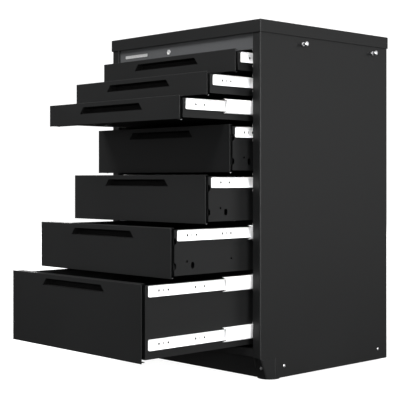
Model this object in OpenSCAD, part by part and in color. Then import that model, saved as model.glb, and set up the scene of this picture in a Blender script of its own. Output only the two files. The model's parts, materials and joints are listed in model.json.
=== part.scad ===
// Tall workshop drawer cabinet: folded sheet-steel carcass, seven drawers on
// two-stage ball-bearing slides. Origin: middle of the underside of the base pan.
// +X is the right side, +Y the back, +Z up. The drawers rest partly pulled out.

/* [Overall] */
// Width over the top cover
overall_w = 650; // [560:10:780]
// Depth over the top cover
overall_d = 574; // [460:2:680]
// Height of one drawer module; the cabinet is twelve modules tall
pitch = 68.7; // [60:0.1:84]

/* [Carcass] */
// Thickness of the folded carcass sheet
sheet = 1.2; // [0.8:0.1:1.6]
// How far the top cover stands out past each side
cover_overhang = 3.5; // [2.5:0.5:8]
// Height of the folded edge of the top cover
cover_edge_h = 35; // [28:1:50]
// Width of each folded front stile
stile_w = 29.5; // [26:0.5:40]
// Depth of the stile's inner return
stile_return = 15; // [10:1:15]
// Outside radius of the stile bend
bend_r = 4; // [3:0.5:6]
// Height of the fascia strip above the top drawer
fascia_h = 44; // [36:1:60]
// Height of the recessed plinth
plinth_h = 63; // [56:1:80]
// How far the kick plate sits behind the front
kick_setback = 42; // [38:1:60]

/* [Drawers] */
// Gap between neighbouring drawer fronts
front_gap = 7; // [5:0.5:9]
// Gap between a drawer front and the stile
reveal = 5; // [4:0.5:7]
// Thickness of the drawer sheet
drawer_sheet = 1.2; // [0.8:0.1:1.6]
// Distance from a front's edge in to the drawer box
box_inset = 14; // [12:0.5:16]
// Distance from the front face back to the box's front wall
box_setback = 25; // [18:0.5:26]
// Height of the handle pocket
pocket_h = 20; // [16:1:24]
// Half width of the handle pocket along its top edge
pocket_top = 123; // [90:1:130]
// Half width of the handle pocket along its bottom edge
pocket_bottom = 139; // [110:1:150]

/* [Slides] */
// Room between the drawer box and the upright for one slide
slide_t = 12.7; // [12:0.1:14]
// Height of the member fixed to the upright
outer_h = 46; // [44:1:49]
// Height of the travelling middle member
middle_h = 39; // [37:0.5:39.5]
// Height of the member fixed to the drawer
inner_h = 28.4; // [26:0.1:29]
// Slide steel thickness
slide_sheet = 1.2; // [0.8:0.1:1.3]

/* [Feet] */
// Diameter of a levelling foot
foot_d = 66; // [40:1:70]
// Height of a foot's pad, which the cabinet stands on
foot_h = 7; // [5:1:16]
// Diameter of a foot's threaded stud
stud_d = 10; // [8:1:12]

/* [Hidden] */
$fn = 48;
units = [1, 1, 1, 2, 2, 2, 3];           // modules per drawer, top to bottom
pulled = [62, 168, 266, 83, 174, 296, 395]; // how far each drawer stands out
advanced = [0, 0, 114, 0, 0, 20, 117];   // how far its middle member stands out
drawer_count = len(units);
eps = 0.05;                              // gap that keeps separate solids apart
lap = 1;                                 // how far a cutter runs past a face

cover_x = overall_w / 2;
cover_y = overall_d / 2;
body_x = cover_x - cover_overhang;
body_y = cover_y - 3;
open_x = body_x - stile_w;
front_x = open_x - reveal;
box_x = front_x - box_inset;
post_x = box_x + slide_t;
post_w = 30;
post_front = -body_y + 27;
post_rear = body_y - 92;

sill_h = 22.6;
first_z = plinth_h + sill_h + 4;         // underside of the lowest front
fascia_z = first_z + 12 * pitch - front_gap + 4;
cover_z = fascia_z + fascia_h;           // underside of the top cover's edge
top_z = cover_z + cover_edge_h;
cover_sheet = 1.5;
carcass_top = top_z - cover_sheet;       // the carcass reaches up to the cover
kick_y = -body_y + kick_setback;
fascia_y = -body_y + 7;                  // the fascia is set back between the stiles
toe = [[0, plinth_h], [23, 5], [37, 0]];  // slanted toe edge, from the front face
back_top = cover_z - 1;

foot_front = [body_x - 49.5, -body_y + 87];
foot_rear = [body_x - 80, body_y - 70];
foot_bar_h = 40;
front_bar = [kick_y + sheet, foot_front[1] + foot_d / 2 + 2]; // front and back faces
rear_bar = [foot_rear[1] - foot_d / 2 - 2, foot_rear[1] + foot_d / 2 + 2];

slide_l = overall_d - 74;
middle_l = slide_l - 10;
inner_l = slide_l - 20;
outer_y = -body_y + 15;                  // front ends of the three members
middle_y = -body_y + 18;
inner_back = 34.5;
slide_drop = 20.7;                       // slide axis below a front's top edge
low_slide = 42.7;                        // lower slide axis above the front's foot
middle_nose = 6;                         // the flanges reach ahead of the web
cage_l = 220;
cage_back = 20;                          // ball cage behind the middle member's front end
inner_open = 7.5;                        // how far each member's flanges reach out
middle_open = 2.5;
middle_web = slide_t - 2.3;
outer_open = 4.5;

box_drop = 5.5;                          // box floor above the front's lower edge
box_top_drop = 5;                        // box rim below the front's upper edge
box_l = slide_l + 12;
hem_h = 10;
front_hem = 2;
front_hem_end = 4;                       // the side hems stop short of the corners
tool_slot_y = 90;                        // tool slot in a box side, from the front
tool_slot_z = 30;
pocket_drop = 12;
pocket_wall = 1.5;

peg_y = [-body_y + 173.5, body_y - 76];
peg_z = top_z - 55.4;
peg_hole = 8;
screw_y = [-body_y + 97, body_y - 45];
screw_z = 31.5;
screw_d = 5;
screw_head_d = 9;
kick_screw_x = body_x - 36.5;
kick_screw_z = 26;

function sum_to(k) = k == 0 ? 0 : units[k - 1] + sum_to(k - 1);
function front_h(k) = units[k - 1] * pitch - front_gap;
function top_of(k) = first_z + (12 - sum_to(k - 1)) * pitch - front_gap;
function face_y(k) = -body_y - pulled[k - 1];
function slide_zs(k) = units[k - 1] < 3
    ? [top_of(k) - slide_drop]
    : [top_of(k) - slide_drop, top_of(k) - front_h(k) + low_slide];

DRAWER_PARTS = ["front", "box", "grip", "inner_rails", "middle_rails", "outer_rails"];

black = "#2a2b2c";
fascia_grey = "#4a4c4e";
zinc = "#dfe1e2";
plastic = "#101112";

// Both sides of the cabinet from one right-hand shape
module both() {
    children();
    mirror([1, 0, 0]) children();
}

// An outline in the Y-Z plane, extruded along X from x0 by w
module along_x(x0, w) {
    translate([x0, 0, 0]) rotate([90, 0, 90]) linear_extrude(w) children();
}

// An outline in the X-Z plane, extruded along Y from y0 by d
module along_y(y0, d) {
    translate([0, y0 + d, 0]) rotate([90, 0, 0]) linear_extrude(d) children();
}

module round_rect(w, d, r) {
    square([w - 2 * r, d], center = true);
    square([w, d - 2 * r], center = true);
    for (sx = [-1, 1], sy = [-1, 1])
        translate([sx * (w / 2 - r), sy * (d / 2 - r)]) circle(r);
}

// A quarter ring of folded sheet, bulging towards +X and -Y
module bend(r, t) {
    intersection() {
        difference() {
            circle(r);
            circle(r - t);
        }
        translate([0, -r]) square(r);
    }
}

// ---- carcass ----

// Plan outline of the right side panel: stile return, stile, bend, wall, rear flange
module side_outline() {
    back = body_y - sheet;
    inner_r = 3;
    translate([open_x, -body_y + inner_r]) square([sheet, stile_return - inner_r]);
    translate([open_x + inner_r, -body_y + inner_r]) mirror([1, 0]) bend(inner_r, sheet);
    translate([open_x + inner_r, -body_y]) square([stile_w - inner_r - bend_r, sheet]);
    translate([body_x - bend_r, -body_y + bend_r]) bend(bend_r, sheet);
    translate([body_x - sheet, -body_y + bend_r]) square([sheet, back + body_y - bend_r]);
    translate([body_x - 25, back - sheet]) square([25, sheet]);
}

module side_panel() {
    difference() {
        linear_extrude(carcass_top) side_outline();
        along_x(0, cover_x) polygon([
            [-body_y - lap, plinth_h], for (p = toe) [p[0] - body_y, p[1]],
            [toe[2][0] - body_y, -lap], [-body_y - lap, -lap]]);
        for (y = peg_y) translate([body_x - 4, y, peg_z]) rotate([0, 90, 0])
            cylinder(h = 8, d = peg_hole);
        for (y = screw_y) translate([body_x - 4, y, screw_z]) rotate([0, 90, 0])
            cylinder(h = 8, d = screw_d);
    }
}

module side_panel_left() {
    color(black) mirror([1, 0, 0]) side_panel();
}

module side_panel_right() {
    color(black) side_panel();
}

module back_panel() {
    color(black) translate([-body_x, body_y - sheet, 0])
        cube([2 * body_x, sheet, back_top]);
}

// Floor of the carcass between the two foot bars, with its four edges turned up
module base_pan() {
    w = body_x - sheet;
    y0 = front_bar[1];
    y1 = rear_bar[0];
    rim = 20;
    color(black) difference() {
        translate([-w, y0, 0]) cube([2 * w, y1 - y0, rim]);
        translate([-w + sheet, y0 + sheet, sheet])
            cube([2 * (w - sheet), y1 - y0 - 2 * sheet, rim]);
    }
}

// Channel across the cabinet, open on top, that carries one pair of feet
module foot_bar(span, foot) {
    w = body_x - sheet;
    d = span[1] - span[0];
    difference() {
        translate([-w, span[0], 0]) cube([2 * w, d, foot_bar_h]);
        translate([-w - lap, span[0] + sheet, sheet])
            cube([2 * (w + lap), d - 2 * sheet, foot_bar_h]);
        for (s = [-1, 1]) translate([s * foot[0], foot[1], -lap])
            cylinder(h = sheet + 2 * lap, d = stud_d + 1);
    }
}

// Screw holes through the kick plate and the wall of the bar behind it
module kick_holes() {
    both() translate([kick_screw_x, kick_y - lap, kick_screw_z]) rotate([-90, 0, 0])
        cylinder(h = 2 * sheet + 2 * lap, d = screw_d);
}

module front_foot_bar() {
    color(black) difference() {
        foot_bar(front_bar, foot_front);
        kick_holes();
    }
}

module rear_foot_bar() {
    color(black) foot_bar(rear_bar, foot_rear);
}

module top_cover() {
    r = 3;
    color(black) translate([0, 0, cover_z]) difference() {
        linear_extrude(cover_edge_h) round_rect(2 * cover_x, 2 * cover_y, r);
        translate([0, 0, -lap]) linear_extrude(cover_edge_h - cover_sheet + lap)
            round_rect(2 * (cover_x - cover_sheet), 2 * (cover_y - cover_sheet), r - cover_sheet);
    }
}

// Channel above the top drawer, open to the back
module fascia_panel() {
    lip = 18;
    h = carcass_top - fascia_z;
    color(fascia_grey) translate([-open_x, fascia_y, fascia_z]) difference() {
        cube([2 * open_x, lip, h]);
        translate([-lap, sheet, sheet]) cube([2 * (open_x + lap), lip, h - 2 * sheet]);
    }
}

// A plain six-sided badge and a plain bar on the left half of the fascia
module fascia_badge() {
    t = 0.8;
    bar = [104, 9];
    color("silver") translate([0, fascia_y, fascia_z + fascia_h / 2 - 1]) rotate([90, 0, 0]) {
        translate([-62, 0]) cylinder(h = t, d = 16, $fn = 6);
        translate([-212, 0]) linear_extrude(t) round_rect(bar[0], bar[1], 2);
    }
}

// Bottom rail between the stiles; its lower flange roofs the toe recess
module front_sill() {
    y0 = -body_y + 0.5;
    color(black) {
        translate([-open_x, y0, plinth_h]) cube([2 * open_x, sheet, sill_h]);
        translate([-open_x, y0, plinth_h]) cube([2 * open_x, kick_y + sheet - y0, sheet]);
        translate([-open_x, y0, plinth_h + sill_h - sheet]) cube([2 * open_x, 16, sheet]);
    }
}

module kick_plate() {
    w = body_x - sheet;
    color(black) difference() {
        translate([-w, kick_y, 0]) cube([2 * w, sheet, plinth_h]);
        kick_holes();
    }
}

// Doubling plates on the outside of the lower front corners, their rear edges rolled
module corner_gussets() {
    z = [6, 57];
    edge = [for (v = z) toe[1][0] * (plinth_h - v) / (plinth_h - toe[1][1]) + 3 - body_y];
    back = -body_y + 60;
    roll_r = 2.2;
    color(black) both() {
        along_x(body_x, sheet) polygon([[edge[1], z[1]], [back, z[1]], [back, z[0]], [edge[0], z[0]]]);
        intersection() {
            translate([body_x, back, z[0]]) cylinder(h = z[1] - z[0], r = roll_r);
            translate([body_x, back - roll_r, z[0]]) cube([roll_r, 2 * roll_r, z[1] - z[0]]);
        }
    }
}

// Front and rear channel posts that carry the slides on one side
module posts() {
    d = body_x - sheet - post_x;
    z0 = plinth_h + sheet + 2;
    for (y = [post_front, post_rear]) translate([post_x, y, z0]) difference() {
        cube([d, post_w, carcass_top - z0]);
        translate([sheet, sheet, -lap])
            cube([d, post_w - 2 * sheet, carcass_top - z0 + 2 * lap]);
        for (k = [1:drawer_count]) for (z = slide_zs(k))
            translate([-lap, post_w / 2, z - z0]) rotate([0, 90, 0])
                cylinder(h = sheet + 2 * lap, d = 4);
    }
}

module upright_posts_left() {
    color(black) mirror([1, 0, 0]) posts();
}

module upright_posts_right() {
    color(black) posts();
}

// Angle that ties the tops of the rear posts and the back together
module rear_cross_rail() {
    w = body_x - sheet;
    y1 = body_y - 2 * sheet;
    y0 = post_rear + post_w;
    color(black) difference() {
        translate([-w, y0, carcass_top - 30]) cube([2 * w, y1 - y0, 30]);
        translate([-w - lap, y0 + sheet, carcass_top - 30 - lap])
            cube([2 * (w + lap), y1 - y0, 30 - sheet + lap]);
    }
}

// Pad, threaded stud and lock nut of a levelling foot
module foot() {
    shoulder = 1.5;
    translate([0, 0, -foot_h]) {
        cylinder(h = foot_h - shoulder - 1, d = foot_d, $fn = 64);
        translate([0, 0, foot_h - shoulder - 1])
            cylinder(h = shoulder, d1 = foot_d, d2 = foot_d - 6, $fn = 64);
        cylinder(h = foot_h + foot_bar_h - 4, d = stud_d);
    }
    translate([0, 0, sheet]) cylinder(h = 7, d = 17, $fn = 6);
}

module levelling_feet() {
    color(plastic) both() {
        translate([foot_front[0], foot_front[1], 0]) foot();
        translate([foot_rear[0], foot_rear[1], 0]) foot();
    }
}

// Round-headed pegs on the sides, for hanging a side tray or a roll holder
module accessory_pegs() {
    color(zinc) both() for (y = peg_y) translate([body_x, y, peg_z]) rotate([0, 90, 0]) {
        translate([0, 0, -4]) cylinder(h = 22, d = 7);
        cylinder(h = 5, d = 11);
        translate([0, 0, 15]) cylinder(h = 5, d = 14.5);
    }
}

module screw() {
    cylinder(h = 2, d1 = screw_head_d, d2 = screw_head_d - 2.4, $fn = 32);
    translate([0, 0, -6]) cylinder(h = 6.5, d = screw_d - 1);
}

module panel_screws() {
    color(zinc) both() {
        for (y = screw_y) translate([body_x, y, screw_z]) rotate([0, 90, 0]) screw();
        translate([kick_screw_x, kick_y, kick_screw_z]) rotate([90, 0, 0]) screw();
    }
}

// ---- drawers ----

// Trapezoid of the handle pocket, its top edge at z = 0
module pocket_outline(grow) {
    polygon([[-pocket_top - grow, grow], [pocket_top + grow, grow],
             [pocket_bottom + grow, -pocket_h - grow], [-pocket_bottom - grow, -pocket_h - grow]]);
}

// Upright slot about its middle, with round ends
module slot(middle, h, w) {
    translate(middle) {
        for (s = [-1, 1]) translate([0, s * (h - w) / 2]) circle(d = w);
        square([w, h - w], center = true);
    }
}

module drawer_front(k) {
    h = front_h(k);
    t = drawer_sheet;
    flange_x = box_x - 1;
    color(black) translate([0, face_y(k), top_of(k) - h]) difference() {
        union() {
            translate([-front_x, 0, 0]) cube([2 * front_x, t, h]);
            both() translate([front_x - t, 0, front_hem_end])
                cube([t, front_hem, h - 2 * front_hem_end]);
            for (z = [0, h - t]) translate([-flange_x, 0, z])
                cube([2 * flange_x, box_setback, t]);
        }
        translate([0, 0, h - pocket_drop]) along_y(-lap, t + 2 * lap) {
            pocket_outline(0);
            translate([0, -pocket_h]) circle(d = 7);
        }
    }
}

// Open-topped drawer box with doubled rims and slotted sides
module drawer_box(k) {
    h = front_h(k) - box_drop - box_top_drop;
    t = drawer_sheet;
    color(black) translate([0, face_y(k) + box_setback, top_of(k) - front_h(k) + box_drop])
    difference() {
        translate([-box_x, 0, 0]) cube([2 * box_x, box_l, h]);
        translate([-box_x + t, t, t]) cube([2 * (box_x - t), box_l - 2 * t, h - hem_h - t]);
        translate([-box_x + 2 * t, 2 * t, h - hem_h - lap])
            cube([2 * (box_x - 2 * t), box_l - 4 * t, hem_h + 2 * lap]);
        if (units[k - 1] == 2) both() along_x(box_x - 2 * t - lap, 2 * (t + lap)) {
            slot([tool_slot_y - box_setback, tool_slot_z - box_drop], 18, 12);
            for (z = [tool_slot_z, tool_slot_z + 65]) slot([0, z - box_drop], 18, 14);
            for (y = [70, 233])
                translate([y - box_setback, tool_slot_z + 11 - box_drop]) circle(d = 6);
        }
    }
}

// Black plastic liner of the handle pocket, clipped in behind the front
module drawer_grip(k) {
    y0 = drawer_sheet;
    d = box_setback - y0 - eps;
    color(plastic) translate([0, face_y(k), top_of(k) - pocket_drop]) difference() {
        union() {
            along_y(y0, d) pocket_outline(pocket_wall);
            along_y(y0, 1.5) pocket_outline(4);
        }
        along_y(y0 - lap, d - pocket_wall + lap) pocket_outline(0);
    }
}

// ---- slides, drawn on the right with s running out from the drawer box ----

// Channel in the X-Z plane: web between s0 and s1 at the closed end, flanges to the open end
module channel(web_s, open_s, half_h) {
    t = slide_sheet;
    lo = min(web_s, open_s);
    difference() {
        translate([lo, -half_h]) square([abs(open_s - web_s), 2 * half_h]);
        translate([lo + (web_s < open_s ? t : -lap), -half_h + t])
            square([abs(open_s - web_s) - t + lap, 2 * (half_h - t)]);
    }
}

module inner_rails(k) {
    y0 = face_y(k) + inner_back;
    color(zinc) both() for (z = slide_zs(k)) translate([box_x, 0, z]) difference() {
        along_y(y0, inner_l) channel(0, inner_open, inner_h / 2);
        along_x(-lap, slide_sheet + 2 * lap) for (y = [36, 164]) {
            slot([y0 + y, 0], 7, 6);
            slot([y0 + y + 15.5, 0], 9, 3);
            translate([y0 + y + 32, 0]) circle(d = 6);
        }
    }
}

module middle_rails(k) {
    y0 = middle_y - advanced[k - 1];
    race = middle_h / 2 - slide_sheet;
    color(zinc) both() for (z = slide_zs(k)) translate([box_x, 0, z]) {
        difference() {
            along_y(y0, middle_l) channel(middle_web, middle_open, middle_h / 2);
            translate([middle_web - slide_sheet - lap, y0 - lap, -race])
                cube([slide_sheet + 2 * lap, middle_nose + lap, 2 * race]);
        }
        for (s = [-1, 1]) scale([1, 1, s])
            translate([middle_open + 1, y0 + cage_back, inner_h / 2 + 0.4])
                cube([4, cage_l, race - inner_h / 2 - 0.4 - eps]);
    }
}

module outer_rails(k) {
    color(zinc) both() for (z = slide_zs(k)) translate([box_x, 0, z])
        along_y(outer_y, slide_l) channel(slide_t, outer_open, outer_h / 2);
}

side_panel_left();
side_panel_right();
back_panel();
base_pan();
front_foot_bar();
rear_foot_bar();
top_cover();
fascia_panel();
fascia_badge();
front_sill();
kick_plate();
corner_gussets();
upright_posts_left();
upright_posts_right();
rear_cross_rail();
levelling_feet();
accessory_pegs();
panel_screws();
for (k = [1:drawer_count]) {
    drawer_front(k);
    drawer_box(k);
    drawer_grip(k);
    inner_rails(k);
    middle_rails(k);
    outer_rails(k);
}
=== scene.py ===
import json
import math

import bmesh
import bpy
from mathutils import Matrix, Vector

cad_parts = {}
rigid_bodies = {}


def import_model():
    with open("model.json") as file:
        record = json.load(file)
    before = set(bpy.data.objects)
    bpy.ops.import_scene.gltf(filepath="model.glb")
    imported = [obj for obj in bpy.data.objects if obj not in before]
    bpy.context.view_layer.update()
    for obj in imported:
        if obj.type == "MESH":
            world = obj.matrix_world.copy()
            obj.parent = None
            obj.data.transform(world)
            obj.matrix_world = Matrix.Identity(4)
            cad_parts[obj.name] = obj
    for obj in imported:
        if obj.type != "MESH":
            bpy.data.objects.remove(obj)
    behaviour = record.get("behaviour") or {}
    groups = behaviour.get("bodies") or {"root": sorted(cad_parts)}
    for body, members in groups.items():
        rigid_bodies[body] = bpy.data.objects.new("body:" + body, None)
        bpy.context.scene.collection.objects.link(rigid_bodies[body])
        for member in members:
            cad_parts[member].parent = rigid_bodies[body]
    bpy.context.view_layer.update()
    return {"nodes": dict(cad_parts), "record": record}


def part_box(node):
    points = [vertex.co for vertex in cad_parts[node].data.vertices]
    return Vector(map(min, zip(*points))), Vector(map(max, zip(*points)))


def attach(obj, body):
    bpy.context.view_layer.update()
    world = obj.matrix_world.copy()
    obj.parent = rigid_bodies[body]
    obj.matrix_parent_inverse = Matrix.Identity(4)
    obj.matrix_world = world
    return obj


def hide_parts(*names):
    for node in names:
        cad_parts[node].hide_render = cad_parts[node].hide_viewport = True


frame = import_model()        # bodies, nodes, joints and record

drawers = range(1, 1 + sum(name.endswith("_front") for name in frame["nodes"]))
print("frame loaded:", len(frame["nodes"]), "nodes and", len(drawers), "drawers")


class Wire:
    # a shader socket that takes part in sums and products
    def __init__(self, tree, socket):
        self.tree = tree
        self.socket = socket

    def add(self, kind, settings, inputs, out=0):      # any other node
        node = self.tree.nodes.new(kind)
        for name, value in settings.items():
            if name == "stops":
                fillRamp(node.color_ramp, value)
            else:
                setattr(node, name, value)
        for name, value in inputs.items():
            if isinstance(value, Wire):
                self.tree.links.new(value.socket, node.inputs[name])
            else:
                node.inputs[name].default_value = value
        return Wire(self.tree, node.outputs[out])

    def combine(self, operation, first, second):
        return self.add("ShaderNodeMath", {"operation": operation}, {0: first, 1: second})

    def __add__(self, other):
        return self.combine("ADD", self, other)

    def __mul__(self, other):
        return self.combine("MULTIPLY", self, other)

    __radd__ = __add__
    __rmul__ = __mul__


def fillRamp(ramp, stops):                             # stops are (place, grey) pairs
    while len(ramp.elements) < len(stops):
        ramp.elements.new(0.5)
    for element, (place, grey) in zip(ramp.elements, stops):
        element.position = place
        element.color = (grey, grey, grey, 1)


def newMaterial(name):
    material = bpy.data.materials.new(name)
    material.use_nodes = True
    shader = material.node_tree.nodes["Principled BSDF"]
    place = material.node_tree.nodes.new("ShaderNodeTexCoord").outputs["Object"]
    return material, shader, Wire(material.node_tree, place)


def feed(material, shader, values):                    # fixed values and wires into the shader
    for name, value in values.items():
        if isinstance(value, Wire):
            material.node_tree.links.new(value.socket, shader.inputs[name])
        else:
            shader.inputs[name].default_value = value


def noise(place, scale, detail=2.0, roughness=0.5):
    return place.add("ShaderNodeTexNoise", {}, {"Vector": place, "Scale": scale, "Detail": detail,
                                                "Roughness": roughness}, "Fac")


def stretched(place, x, y, z):                         # coordinates squeezed along each axis
    return place.add("ShaderNodeMapping", {}, {"Vector": place, "Scale": (x, y, z)})


def ramp(wire, low, high, start=0.0, end=1.0):
    return wire.add("ShaderNodeValToRGB", {"stops": [(low, start), (high, end)]}, {"Fac": wire})


def blendColours(factor, first, second):
    return factor.add("ShaderNodeMix", {"data_type": "RGBA"},
                      {"Factor": factor, 6: (*first, 1), 7: (*second, 1)}, 2)


def bumped(height, strength, distance):
    inputs = {"Height": height, "Strength": strength, "Distance": distance}
    return height.add("ShaderNodeBump", {}, inputs)


# Powder coat: fine orange peel, faint cloudiness, a few dry scuffs
coat = {"peelScale": 700.0, "peelDepth": 0.00005, "peelStrength": 0.35, "waveScale": 22.0,
        "cloudScale": 5.0, "scuffScale": 38.0, "scuffRange": (0.66, 0.78), "dustScale": 260.0,
        "dustRange": (0.68, 0.8), "index": 1.46, "shine": 0.24}


def powderCoat(name, colour, pale, roughness):
    material, shader, place = newMaterial(name)
    peel = noise(place, coat["peelScale"], 1.0)
    wave = noise(place, coat["waveScale"], 1.0)
    cloud = noise(place, coat["cloudScale"], 3.0)
    scratches = noise(stretched(place, 1, 0.35, 1.6), coat["scuffScale"], 6.0, 0.7)
    scuff = ramp(scratches, *coat["scuffRange"])
    dust = ramp(noise(place, coat["dustScale"], 2.0), *coat["dustRange"])
    tint = cloud * 0.5 + scuff * 0.35 + dust * 0.25
    feed(material, shader, {
        "Base Color": blendColours(tint, colour, pale),
        "Roughness": roughness - 0.06 + cloud * 0.1 + scuff * 0.12,
        "Normal": bumped(peel + wave * 0.6, coat["peelStrength"], coat["peelDepth"]),
        "IOR": coat["index"], "Specular IOR Level": coat["shine"]})
    return material


# Bright zinc: rolled streaks along the member and soft spangle
zinc = {"streakScale": (900, 14, 900), "spangleScale": 160.0, "dullRange": (0.25, 0.85),
        "streakStrength": 0.15, "streakDepth": 0.00004}


def zincPlate(name, colour, dull, roughness, metal):
    material, shader, place = newMaterial(name)
    streak = noise(stretched(place, *zinc["streakScale"]), 1.0, 4.0, 0.6)
    cells = {"Vector": place, "Scale": zinc["spangleScale"]}
    spangle = place.add("ShaderNodeTexVoronoi", {}, cells, "Distance")
    dulled = ramp(streak * 0.7 + spangle * 0.5, *zinc["dullRange"])
    feed(material, shader, {
        "Base Color": blendColours(dulled, colour, dull),
        "Metallic": metal,
        "Roughness": roughness + streak * 0.12,
        "Normal": bumped(streak, zinc["streakStrength"], zinc["streakDepth"])})
    return material


# Moulded plastic: fine spark-eroded grain
plastic = {"grainScale": 1500.0, "grainStrength": 0.4, "grainDepth": 0.00004, "cloudScale": 30.0}


def mouldedPlastic(name, colour, pale, roughness, shine):
    material, shader, place = newMaterial(name)
    grain = noise(place, plastic["grainScale"], 2.0)
    cloud = noise(place, plastic["cloudScale"], 2.0)
    feed(material, shader, {
        "Base Color": blendColours(cloud, colour, pale),
        "Roughness": roughness + grain * 0.12,
        "Normal": bumped(grain, plastic["grainStrength"], plastic["grainDepth"]),
        "Specular IOR Level": shine})
    return material


finishes = {
    "carcass_steel": powderCoat("blackCoat", (0.005, 0.0052, 0.0053), (0.0115, 0.0118, 0.012), 0.46),
    "fascia_steel": powderCoat("greyCoat", (0.05, 0.051, 0.053), (0.075, 0.077, 0.08), 0.4),
    "drawer_steel": powderCoat("drawerCoat", (0.0046, 0.0048, 0.0049), (0.010, 0.0103, 0.0106), 0.48),
    "slide_steel": zincPlate("brightZinc", (0.97, 0.972, 0.975), (0.9, 0.905, 0.91), 0.36, 0.05),
    # pocket liner: black plastic, darkened further as painted shade for the deep grip recess
    "grip_plastic": mouldedPlastic("pocketPlastic", (0.002, 0.002, 0.002),
                                   (0.0035, 0.0035, 0.0036), 0.75, 0.12),
    "foot_plastic": mouldedPlastic("footPlastic", (0.008, 0.008, 0.0082),
                                   (0.014, 0.014, 0.0145), 0.4, 0.3),
    "zinc_hardware": zincPlate("screwZinc", (0.82, 0.82, 0.83), (0.6, 0.6, 0.62), 0.22, 0.9),
    "badge_metal": zincPlate("badgeMetal", (0.8, 0.8, 0.8), (0.6, 0.6, 0.6), 0.3, 0.8),
}
slotOf = {part["node"]: part["material_slot"] for part in frame["record"]["subparts"]}
bodyOf = {node: piece.parent.name.split(":", 1)[1] for node, piece in frame["nodes"].items()}
for node, piece in frame["nodes"].items():             # every CAD node gets its finish
    piece.data.materials.clear()
    piece.data.materials.append(finishes[slotOf[node]])
print("finishes made:", len(finishes))


def objectMode():
    if bpy.context.mode != "OBJECT":
        bpy.ops.object.mode_set(mode="OBJECT")


def only(piece):                                       # the one selected and active object
    objectMode()
    bpy.ops.object.select_all(action="DESELECT")
    piece.select_set(True)
    bpy.context.view_layer.objects.active = piece


def freeze():                                          # place, turn and size go into the mesh
    bpy.ops.object.transform_apply(location=True, rotation=True, scale=True)


def startBox(name, low, high):                         # a box between two corners, in edit mode
    objectMode()
    bpy.ops.object.select_all(action="DESELECT")
    middle = [(a + b) / 2 for a, b in zip(low, high)]
    size = [b - a for a, b in zip(low, high)]
    bpy.ops.mesh.primitive_cube_add(size=1, location=middle, scale=size)
    freeze()
    bpy.context.active_object.name = name
    bpy.ops.object.mode_set(mode="EDIT")
    return bpy.context.active_object


softening = {"foldAngle": math.radians(35), "smoothAngle": math.radians(40), "weight": 100}
near = 0.0001                                          # how close counts as on a plane
longEdge = 0.01


def middleOf(part):
    if isinstance(part, bmesh.types.BMVert):
        return part.co
    return sum((v.co for v in part.verts), Vector()) / len(part.verts)


def pick(piece, kind, test):                           # selects by the middle of each part
    bpy.ops.mesh.select_mode(type=kind)
    bpy.ops.mesh.select_all(action="DESELECT")
    mesh = bmesh.from_edit_mesh(piece.data)
    for part in {"VERT": mesh.verts, "EDGE": mesh.edges, "FACE": mesh.faces}[kind]:
        if test(middleOf(part), part):
            part.select_set(True)
    bmesh.update_edit_mesh(piece.data)


def modify(piece, kind, settings):                     # a modifier, applied at once
    only(piece)
    modifier = piece.modifiers.new(kind.lower(), kind)
    for name, value in settings.items():
        setattr(modifier, name, value)
    bpy.ops.object.modifier_apply(modifier=modifier.name)


def smoothed(piece):
    only(piece)
    bpy.ops.object.shade_smooth_by_angle(angle=softening["smoothAngle"])


def soften(piece, width, segments=2, level=True):      # rounds every sharp edge a little
    modify(piece, "BEVEL", {"width": width, "segments": segments, "limit_method": "ANGLE",
                            "angle_limit": softening["foldAngle"], "use_clamp_overlap": True})
    smoothed(piece)
    if level:                                          # wide flat faces keep flat shading
        modify(piece, "WEIGHTED_NORMAL", {"mode": "FACE_AREA", "weight": softening["weight"],
                                          "keep_sharp": True})


def turned(name, steps, segments=32):                  # a round shape from (height, radius) steps
    objectMode()
    bpy.ops.object.select_all(action="DESELECT")
    height, radius = steps[0]
    bpy.ops.mesh.primitive_circle_add(vertices=segments, radius=radius, fill_type="NGON",
                                      location=(0, 0, height))
    freeze()
    piece = bpy.context.active_object
    piece.name = name
    bpy.ops.object.mode_set(mode="EDIT")
    bpy.ops.mesh.select_all(action="SELECT")
    for z, r in steps[1:]:
        bpy.ops.mesh.extrude_region_move(TRANSFORM_OT_translate={"value": (0, 0, z - height)})
        bpy.ops.transform.resize(value=(r / radius, r / radius, 1), center_override=(0, 0, z))
        height, radius = z, r
    outward(piece)
    return piece


def cutBy(piece, cutter):                              # takes the cutter's shape out of the piece
    modify(piece, "BOOLEAN", {"operation": "DIFFERENCE", "solver": "EXACT", "object": cutter})
    bpy.data.objects.remove(cutter)


def placed(piece, spot, turn=(0, 0, 0)):               # a copy, turned by degrees and put in place
    twin = copyOf(piece)
    only(twin)
    twin.rotation_euler = [math.radians(angle) for angle in turn]
    twin.location = spot
    freeze()
    return twin


def outward(piece):                                    # doubles merged, normals out
    only(piece)
    bpy.ops.object.mode_set(mode="EDIT")
    bpy.ops.mesh.select_all(action="SELECT")
    bpy.ops.mesh.remove_doubles(threshold=0.000005)
    bpy.ops.mesh.normals_make_consistent(inside=False)
    objectMode()


def settle(piece, name, nodes, body=None, slot=None):  # finish, name, body and replaced nodes
    objectMode()
    slot = slot or slotOf[nodes[0]]
    piece.name = name
    piece.data.name = name
    piece.data.materials.clear()
    piece.data.materials.append(finishes[slot])
    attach(piece, body or bodyOf[nodes[0]])
    if nodes:
        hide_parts(*nodes)


def joined(pieces):
    only(pieces[0])
    for piece in pieces[1:]:
        piece.select_set(True)
    bpy.ops.object.join()
    return bpy.context.active_object


def copyOf(piece):                                     # a copy with its own mesh
    twin = piece.copy()
    twin.data = piece.data.copy()
    bpy.context.scene.collection.objects.link(twin)
    return twin


def shifted(piece, x=0.0, y=0.0, z=0.0, flip=False):   # moved, and mirrored left to right if asked
    only(piece)
    piece.location = (x, y, z)
    if flip:
        piece.scale = (-1, 1, 1)
    freeze()
    if flip:
        outward(piece)
    return piece


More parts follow.
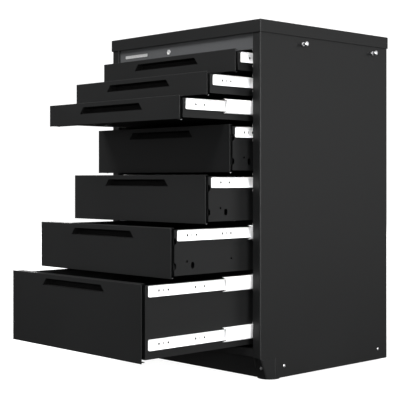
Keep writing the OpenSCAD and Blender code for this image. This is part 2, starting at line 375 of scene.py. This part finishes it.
def sheetCopy(node, name, width):                      # a CAD sheet part with softened folds
    piece = copyOf(frame["nodes"][node])
    piece.parent = None
    for key in list(piece.keys()):
        del piece[key]
    only(piece)
    bpy.ops.object.mode_set(mode="EDIT")
    bpy.ops.mesh.select_all(action="SELECT")
    bpy.ops.mesh.remove_doubles(threshold=0.000002)
    bpy.ops.mesh.dissolve_limited(angle_limit=math.radians(1.0))
    objectMode()
    soften(piece, width)
    settle(piece, name, [node])


sheets = {"bevel": 0.0004, "boxBevel": 0.0005, "frontBevel": 0.0003}
for node in ("side_panel_left", "side_panel_right", "back_panel", "base_pan", "front_foot_bar",
             "rear_foot_bar", "fascia_panel", "front_sill", "kick_plate", "corner_gussets",
             "upright_posts_left", "upright_posts_right", "rear_cross_rail"):
    sheetCopy(node, node.replace("_", " ").title().replace(" ", ""), sheets["bevel"])
print("carcass sheets softened")

cover = {"sheet": 0.0015, "cornerRadius": 0.003, "topRadius": 0.0024, "edge": 0.0003}


def makeCover():
    low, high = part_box("top_cover")
    piece = startBox("cover", low, high)
    pick(piece, "FACE", lambda p, f: p.z < low.z + 0.001)
    bpy.ops.mesh.delete(type="FACE")
    pick(piece, "EDGE", lambda p, e: abs(e.verts[0].co.z - e.verts[1].co.z) > longEdge)
    bpy.ops.mesh.bevel(offset=cover["cornerRadius"], segments=5, affect="EDGES")
    pick(piece, "EDGE", lambda p, e: min(v.co.z for v in e.verts) > high.z - near)
    bpy.ops.mesh.bevel(offset=cover["topRadius"], segments=4, affect="EDGES")
    objectMode()
    modify(piece, "SOLIDIFY", {"thickness": cover["sheet"], "offset": -1})
    soften(piece, cover["edge"])
    settle(piece, "TopCover", ["top_cover"])


makeCover()
print("cover folded")

pocket = {"drop": 0.012, "height": 0.020, "topHalf": 0.123, "bottomHalf": 0.139,
          "depth": 0.0208, "rimBack": 0.0034, "rimWide": 1.016, "rimHigh": 1.2,
          "wall": 0.0015, "corner": 0.0034}
front = {"sheet": 0.0012, "hem": 0.002, "lip": 0.0011, "flangeIn": 0.015, "edgeRadius": 0.0009}
pin = {"in": 0.018, "back": 0.021, "profile": [(-0.001, 0.001), (0, 0.001), (0, 0.002),
                                               (0.0006, 0.002), (0.0011, 0.0014), (0.0013, 0.0006)]}


def pocketSide(z, top):                                # half width of the pocket at a height
    share = (top - pocket["drop"] - z) / pocket["height"]
    return pocket["topHalf"] + (pocket["bottomHalf"] - pocket["topHalf"]) * share


def makeFront(k):
    low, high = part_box(f"drawer_{k}_front")
    top = high.z - pocket["drop"]
    foot = top - pocket["height"]
    piece = startBox("front", low, (high.x, low.y + front["hem"], high.z))
    pick(piece, "FACE", lambda p, f: p.y > low.y + front["hem"] - near)
    bpy.ops.mesh.delete(type="FACE")
    pick(piece, "EDGE", lambda p, e: max(v.co.y for v in e.verts) < low.y + near)
    bpy.ops.mesh.bevel(offset=front["edgeRadius"], segments=4, affect="EDGES")
    slope = math.atan2(pocket["bottomHalf"] - pocket["topHalf"], pocket["height"])
    cuts = [((0, 0, top), (0, 0, 1)), ((0, 0, foot), (0, 0, 1)),
            ((pocket["topHalf"], 0, top), (math.cos(slope), 0, math.sin(slope))),
            ((-pocket["topHalf"], 0, top), (-math.cos(slope), 0, math.sin(slope)))]
    for point, normal in cuts:
        pick(piece, "FACE", lambda p, f: p.y < low.y + near)
        bpy.ops.mesh.bisect(plane_co=point, plane_no=normal)
    pick(piece, "FACE", lambda p, f: p.y < low.y + near and foot < p.z < top
         and abs(p.x) < pocketSide(p.z, high.z))
    bpy.ops.mesh.delete(type="FACE")
    bpy.ops.mesh.select_all(action="SELECT")
    bpy.ops.mesh.normals_make_consistent(inside=False)
    pick(piece, "EDGE", lambda p, e: e.is_boundary and p.y < low.y + near)   # turned-in lip
    bpy.ops.mesh.extrude_region_move(TRANSFORM_OT_translate={"value": (0, front["lip"], 0)})
    objectMode()
    modify(piece, "SOLIDIFY", {"thickness": front["sheet"], "offset": -1})
    flanges = []
    for z in (low.z, high.z - front["sheet"]):
        flange = startBox("flange", (low.x + front["flangeIn"], low.y + front["sheet"], z),
                          (high.x - front["flangeIn"], high.y, z + front["sheet"]))
        objectMode()
        flanges.append(flange)
    piece = joined([piece] + flanges)
    soften(piece, sheets["frontBevel"])
    settle(piece, f"Drawer{k}Front", [f"drawer_{k}_front"])


def makeGrip(k):                                       # liner tub behind the pocket opening
    low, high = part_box(f"drawer_{k}_front")
    top = high.z - pocket["drop"]
    foot = top - pocket["height"]
    y = low.y + pocket["rimBack"]
    piece = startBox("grip", (-pocket["topHalf"], y, foot),
                     (pocket["topHalf"], y + pocket["depth"], top))
    pick(piece, "FACE", lambda p, f: p.y < y + near)
    bpy.ops.mesh.delete(type="FACE")
    pick(piece, "VERT", lambda p, v: p.z < foot + near)
    flare = pocket["bottomHalf"] / pocket["topHalf"]
    bpy.ops.transform.resize(value=(flare, 1, 1), center_override=(0, y, foot))
    pick(piece, "EDGE", lambda p, e: not e.is_boundary)
    bpy.ops.mesh.bevel(offset=pocket["corner"], segments=4, affect="EDGES")
    pick(piece, "EDGE", lambda p, e: e.is_boundary)
    bpy.ops.mesh.extrude_region_move()
    bpy.ops.transform.resize(value=(pocket["rimWide"], 1, pocket["rimHigh"]),
                             center_override=(0, y, (top + foot) / 2))
    objectMode()
    modify(piece, "SOLIDIFY", {"thickness": pocket["wall"], "offset": -1, "use_even_offset": True})
    soften(piece, sheets["frontBevel"])
    settle(piece, f"Drawer{k}Grip", [f"drawer_{k}_grip"])


def makePins(k, master):                               # bright screws under the front's lower corners
    low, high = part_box(f"drawer_{k}_front")
    pins = []
    for side in (-1, 1):
        spot = (side * (high.x - pin["in"]), low.y + pin["back"], low.z)
        pins.append(placed(master, spot, (180, 0, 0)))
    piece = joined(pins)
    settle(piece, f"Drawer{k}Pins", [], f"drawer_{k}", "zinc_hardware")


cornerPin = turned("pin", pin["profile"], 16)
for k in drawers:
    makeFront(k)
    makeGrip(k)
    makePins(k, cornerPin)
    sheetCopy(f"drawer_{k}_box", f"Drawer{k}Box", sheets["boxBevel"])
bpy.data.objects.remove(cornerPin)
print("drawer fronts, pockets and boxes made")

slides = {"sheet": 0.0012, "fold": 0.0032, "innerHigh": 0.0284, "innerOut": 0.0075,
          "middleHigh": 0.039, "middleIn": 0.0025, "middleOut": 0.0104, "nose": 0.006,
          "outerHigh": 0.046, "outerIn": 0.0045, "outerOut": 0.0127, "edge": 0.0002}
holes = {"groups": (0.036, 0.164),                     # (place in the group, width, height)
         "ovals": ((0, 0.006, 0.007), (0.0155, 0.003, 0.009), (0.032, 0.006, 0.006))}
cage = {"back": 0.020, "long": 0.220, "ball": 0.002, "step": 0.010, "margin": 0.004, "out": 0.0055,
        "strip": 0.0007, "wide": 0.0044, "corner": 0.0015}
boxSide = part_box("drawer_1_box")[1].x                  # right face of every drawer box


def member(name, low, high, openLow):                  # a folded channel, open towards low or high x
    piece = startBox(name, low, high)
    openX = low[0] if openLow else high[0]
    pick(piece, "FACE", lambda p, f: not low[1] + near < p.y < high[1] - near
         or abs(p.x - openX) < near)
    bpy.ops.mesh.delete(type="FACE")
    pick(piece, "EDGE", lambda p, e: not e.is_boundary
         and abs(e.verts[0].co.y - e.verts[1].co.y) > longEdge)
    bpy.ops.mesh.bevel(offset=slides["fold"], segments=4, affect="EDGES")
    return piece


def thicken(piece):
    objectMode()
    modify(piece, "SOLIDIFY", {"thickness": slides["sheet"], "offset": -1})


def punch(y, wide, high):                              # an oval punch through the inner member
    objectMode()
    bpy.ops.object.select_all(action="DESELECT")
    bpy.ops.mesh.primitive_cylinder_add(vertices=20, radius=0.5, depth=0.008,
                                        location=(boxSide, y, 0), rotation=(0, math.radians(90), 0),
                                        scale=(high, wide, 1))
    freeze()
    return bpy.context.active_object


def makeInner():
    low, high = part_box("drawer_1_inner_rails")
    half = slides["innerHigh"] / 2
    piece = member("inner", (boxSide, 0, -half),
                   (boxSide + slides["innerOut"], high.y - low.y, half), False)
    thicken(piece)
    punches = [punch(y + step, wide, tall) for y in holes["groups"]
               for step, wide, tall in holes["ovals"]]
    cutBy(piece, joined(punches))
    soften(piece, slides["edge"], 1, False)
    return piece


def makeRow(z):                                        # one ball cage with its row of balls
    x = boxSide + cage["out"]
    start = cage["back"] + cage["margin"]
    strip = startBox("strip", (x - cage["wide"] / 2, cage["back"], z - cage["strip"] / 2),
                     (x + cage["wide"] / 2, cage["back"] + cage["long"], z + cage["strip"] / 2))
    pick(strip, "EDGE", lambda p, e: abs(e.verts[0].co.z - e.verts[1].co.z) > near)
    bpy.ops.mesh.bevel(offset=cage["corner"], segments=3, affect="EDGES")
    objectMode()
    bpy.ops.object.select_all(action="DESELECT")
    bpy.ops.mesh.primitive_uv_sphere_add(segments=8, ring_count=6, radius=cage["ball"],
                                         location=(x, start, z))
    bpy.ops.object.shade_smooth()
    freeze()
    ball = bpy.context.active_object
    count = int((cage["long"] - 2 * cage["margin"]) / cage["step"]) + 1
    modify(ball, "ARRAY", {"count": count, "use_relative_offset": False, "use_constant_offset": True,
                           "constant_offset_displace": (0, cage["step"], 0)})
    return joined([strip, ball])


def makeMiddle():
    low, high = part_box("drawer_1_middle_rails")
    half = slides["middleHigh"] / 2
    piece = member("middle", (boxSide + slides["middleIn"], 0, -half),
                   (boxSide + slides["middleOut"], high.y - low.y, half), True)
    pick(piece, "FACE", lambda p, f: True)
    bpy.ops.mesh.bisect(plane_co=(0, slides["nose"], 0), plane_no=(0, 1, 0))
    pick(piece, "FACE", lambda p, f: p.y < slides["nose"] and abs(p.z) < 0.001)   # flanges reach ahead
    bpy.ops.mesh.delete(type="FACE")
    thicken(piece)
    soften(piece, slides["edge"], 1, False)
    race = (half - slides["sheet"] + slides["innerHigh"] / 2) / 2
    return joined([piece, makeRow(race), makeRow(-race)])


def makeOuter():
    low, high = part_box("drawer_1_outer_rails")
    half = slides["outerHigh"] / 2
    piece = member("outer", (boxSide + slides["outerIn"], 0, -half),
                   (boxSide + slides["outerOut"], high.y - low.y, half), True)
    thicken(piece)
    soften(piece, slides["edge"], 1, False)
    return piece


def placeRails(master, node, name, tall):              # both sides, one or two levels
    low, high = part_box(node)
    levels = [(low.z + high.z) / 2]
    if high.z - low.z > 2 * tall:
        levels = [low.z + tall / 2, high.z - tall / 2]
    rails = [shifted(copyOf(master), y=low.y, z=z, flip=flip) for z in levels for flip in (False, True)]
    settle(joined(rails), name, [node])


innerMember, middleMember, outerMember = makeInner(), makeMiddle(), makeOuter()
for k in drawers:
    placeRails(innerMember, f"drawer_{k}_inner_rails", f"Drawer{k}InnerRails", slides["innerHigh"])
    placeRails(middleMember, f"drawer_{k}_middle_rails", f"Drawer{k}MiddleRails", slides["middleHigh"])
    placeRails(outerMember, f"drawer_{k}_outer_rails", f"Drawer{k}OuterRails", slides["outerHigh"])
for master in (innerMember, middleMember, outerMember):
    bpy.data.objects.remove(master)
print("slides made")

mounts = {mount["name"]: mount["pos_m"] for mount in frame["record"]["mounts"]}
foot = {"radius": 0.033, "shoulder": 0.0025, "edge": 0.0012, "inner": 0.030, "top": -0.001,
        "neck": 0.007, "stud": 0.005, "studTop": 0.036, "threadStep": 0.0015, "threadDeep": 0.0006,
        "nut": [(0.0012, 0.0078), (0.0017, 0.0085), (0.0077, 0.0085), (0.0082, 0.0078)],
        "nutEdge": 0.0003}


def makeFeet():
    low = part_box("levelling_feet")[0]
    radius = foot["radius"]
    stud = foot["stud"]
    steps = [(low.z, radius - foot["edge"]), (low.z + foot["edge"], radius), (-foot["shoulder"], radius),
             (foot["top"] - 0.0004, foot["inner"] + 0.0006), (foot["top"], foot["inner"] - 0.0006),
             (foot["top"], foot["neck"]), (foot["top"] + 0.0001, stud)]
    z = foot["top"] + 0.0008
    while z < foot["studTop"] - 0.001:                 # thread of the stud
        steps += [(z, stud), (z + foot["threadStep"] / 2, stud - foot["threadDeep"])]
        z += foot["threadStep"]
    steps += [(foot["studTop"], 0.0036)]
    pad = turned("pad", steps, 48)
    smoothed(pad)
    nut = turned("nut", foot["nut"], 6)
    soften(nut, foot["nutEdge"], 2, False)
    whole = joined([pad, nut])
    feet = [placed(whole, (spot[0], spot[1], 0)) for name, spot in mounts.items()
            if name.startswith("foot_")]
    bpy.data.objects.remove(whole)
    settle(joined(feet), "LevellingFeet", ["levelling_feet"])


# Peg outline as (height, radius): shank, washer, neck and head
pegOutline = [(-0.004, 0.0035), (0, 0.0035), (0, 0.0052), (0.0004, 0.0055), (0.0046, 0.0055),
              (0.005, 0.0051), (0.005, 0.0035), (0.015, 0.0035), (0.015, 0.0068), (0.0155, 0.00725),
              (0.0185, 0.00725), (0.0194, 0.0064), (0.0199, 0.0045), (0.02, 0.002)]


def makePegs():
    peg = turned("peg", pegOutline, 32)
    smoothed(peg)
    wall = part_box("side_panel_right")[1].x
    pegs = []
    for name, spot in mounts.items():
        if name.startswith("peg_"):
            side = 1 if spot[0] > 0 else -1
            pegs.append(placed(peg, (side * wall, spot[1], spot[2]), (0, 90 * side, 0)))
    bpy.data.objects.remove(peg)
    settle(joined(pegs), "AccessoryPegs", ["accessory_pegs"])


screws = {"sideY": (-0.187, 0.239), "sideZ": 0.0315, "kickX": 0.285, "kickZ": 0.026,
          "recess": 0.0011, "crossLong": 0.0022, "crossWide": 0.0005,
          "outline": [(-0.0055, 0.002), (0, 0.002), (0, 0.0045), (0.0006, 0.0045), (0.0012, 0.0040),
                      (0.0017, 0.0030), (0.002, 0.0016)]}


def makeScrews():
    screw = turned("screw", screws["outline"], 24)
    top = screws["outline"][-1][0]
    arm, slit = screws["crossLong"], screws["crossWide"]
    for wide, deep in ((arm, slit), (slit, arm)):      # cross recess
        cut = startBox("cut", (-wide, -deep, top - screws["recess"]), (wide, deep, 0.003))
        objectMode()
        cutBy(screw, cut)
    smoothed(screw)
    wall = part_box("side_panel_right")[1].x
    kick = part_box("kick_plate")[0].y
    spots = []
    for side in (-1, 1):
        for y in screws["sideY"]:
            spots.append(((side * wall, y, screws["sideZ"]), (0, 90 * side, 0)))
        spots.append(((side * screws["kickX"], kick, screws["kickZ"]), (90, 0, 0)))
    pieces = [placed(screw, spot, turn) for spot, turn in spots]
    bpy.data.objects.remove(screw)
    settle(joined(pieces), "PanelScrews", ["panel_screws"])


badge = {"radius": 0.008, "rim": 0.0014, "edge": 0.0004, "barLong": 0.104, "barHigh": 0.009,
         "corner": 0.002, "barRim": 0.0005}


def makeBadge():                                       # plain hexagon with a raised rim, and a plain bar
    low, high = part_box("fascia_badge")
    radius = badge["radius"]
    thick = high.y - low.y
    middle = (low.z + high.z) / 2
    inside = radius - badge["rim"]
    plate = turned("badge", [(0, radius), (thick * 0.7, radius), (thick, radius - badge["edge"]),
                             (thick, inside), (thick * 0.5, inside - badge["edge"])], 6)
    hexagon = placed(plate, (high.x - radius, high.y, middle), (90, 30, 0))
    bpy.data.objects.remove(plate)
    bar = startBox("bar", (low.x, low.y, middle - badge["barHigh"] / 2),
                   (low.x + badge["barLong"], high.y, middle + badge["barHigh"] / 2))
    pick(bar, "EDGE", lambda p, e: abs(e.verts[0].co.y - e.verts[1].co.y) > thick / 2)
    bpy.ops.mesh.bevel(offset=badge["corner"], segments=5, affect="EDGES")
    pick(bar, "FACE", lambda p, f: p.y < low.y + 0.00001)
    bpy.ops.mesh.inset(thickness=badge["barRim"], depth=0)
    bpy.ops.transform.translate(value=(0, thick * 0.3, 0))   # rim round the bar
    objectMode()
    settle(joined([hexagon, bar]), "FasciaBadge", ["fascia_badge"])


makeFeet()
makePegs()
makeScrews()
makeBadge()
print("feet, pegs, screws and badge made")

view = {"place": (2.308, -2.382, 0.554), "azimuth": 46.75, "lens": 95.2, "shift": (0.0025, -0.054)}
lamps = {"keyLight": {"place": (-3.6, -5.6, 8.4), "size": 4.0, "power": 1200},
         "rightLight": {"place": (2.4, -4.6, 5.6), "size": 1.6, "power": 330},
         "sideLight": {"place": (8.4, -1.4, 1.9), "size": 5.0, "power": 850},
         "sheenLight": {"place": (6.6, 5.6, 1.2), "size": 4.5, "power": 110},
         "lowLight": {"place": (-4.2, -4.6, 0.2), "size": 1.6, "power": 9},
         "edgeLight": {"place": (3.5, -3.7, 1.1), "size": 0.6, "power": 95},
         "backLight": {"place": (-5.5, 6.0, 4.0), "size": 4.0, "power": 700}}
studio = {"floorSize": 24, "floorGlow": 0.97, "skyRange": (0.46, 0.6), "skyGlow": (0.03, 0.25),
          "aim": (0, -0.1, 0.5)}


def makeCamera():
    bpy.ops.object.select_all(action="DESELECT")
    turn = (math.radians(90), 0, math.radians(view["azimuth"]))
    bpy.ops.object.camera_add(location=view["place"], rotation=turn)
    camera = bpy.context.active_object
    camera.data.lens = view["lens"]
    camera.data.shift_x, camera.data.shift_y = view["shift"]
    camera.data.clip_end = 60
    bpy.context.scene.camera = camera


def makeFloor():
    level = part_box("levelling_feet")[0].z
    bpy.ops.object.select_all(action="DESELECT")
    bpy.ops.mesh.primitive_plane_add(size=studio["floorSize"], location=(0, 0, level))
    floor = bpy.context.active_object
    floor.name = "floor"
    material, shader = newMaterial("paleFloor")[:2]
    feed(material, shader, {"Base Color": (0.3, 0.3, 0.3, 1), "Roughness": 0.9, "Specular IOR Level": 0.1,
                            "Emission Color": (1, 1, 1, 1), "Emission Strength": studio["floorGlow"]})
    floor.data.materials.append(material)
    floor.visible_diffuse = False                      # the floor throws no light back up
    floor.visible_glossy = False


def makeLight(name, lamp):
    bpy.ops.object.light_add(type="AREA", location=lamp["place"])
    light = bpy.context.active_object
    light.name = name
    light.data.size = lamp["size"]
    light.data.energy = lamp["power"]
    aim = Vector(studio["aim"]) - Vector(lamp["place"])
    light.rotation_euler = aim.to_track_quat("-Z", "Y").to_euler()


def makeWorld():                                       # white behind, soft above and dark below
    world = bpy.data.worlds.new("studio")
    world.use_nodes = True
    bpy.context.scene.world = world
    tree = world.node_tree
    seen = Wire(tree, tree.nodes.new("ShaderNodeLightPath").outputs["Is Camera Ray"])
    sky = Wire(tree, tree.nodes.new("ShaderNodeTexCoord").outputs["Generated"])
    height = sky.add("ShaderNodeSeparateXYZ", {}, {"Vector": sky}, "Z")
    glow = ramp(height * 0.5 + 0.5, *studio["skyRange"], *studio["skyGlow"])
    back = tree.nodes["Background"]
    back.inputs["Color"].default_value = (1, 1, 1, 1)
    strength = glow + seen
    tree.links.new(strength.socket, back.inputs["Strength"])


makeCamera()
makeFloor()
for name, lamp in lamps.items():
    makeLight(name, lamp)
makeWorld()
bpy.context.scene.view_settings.view_transform = "Standard"
print("studio ready")
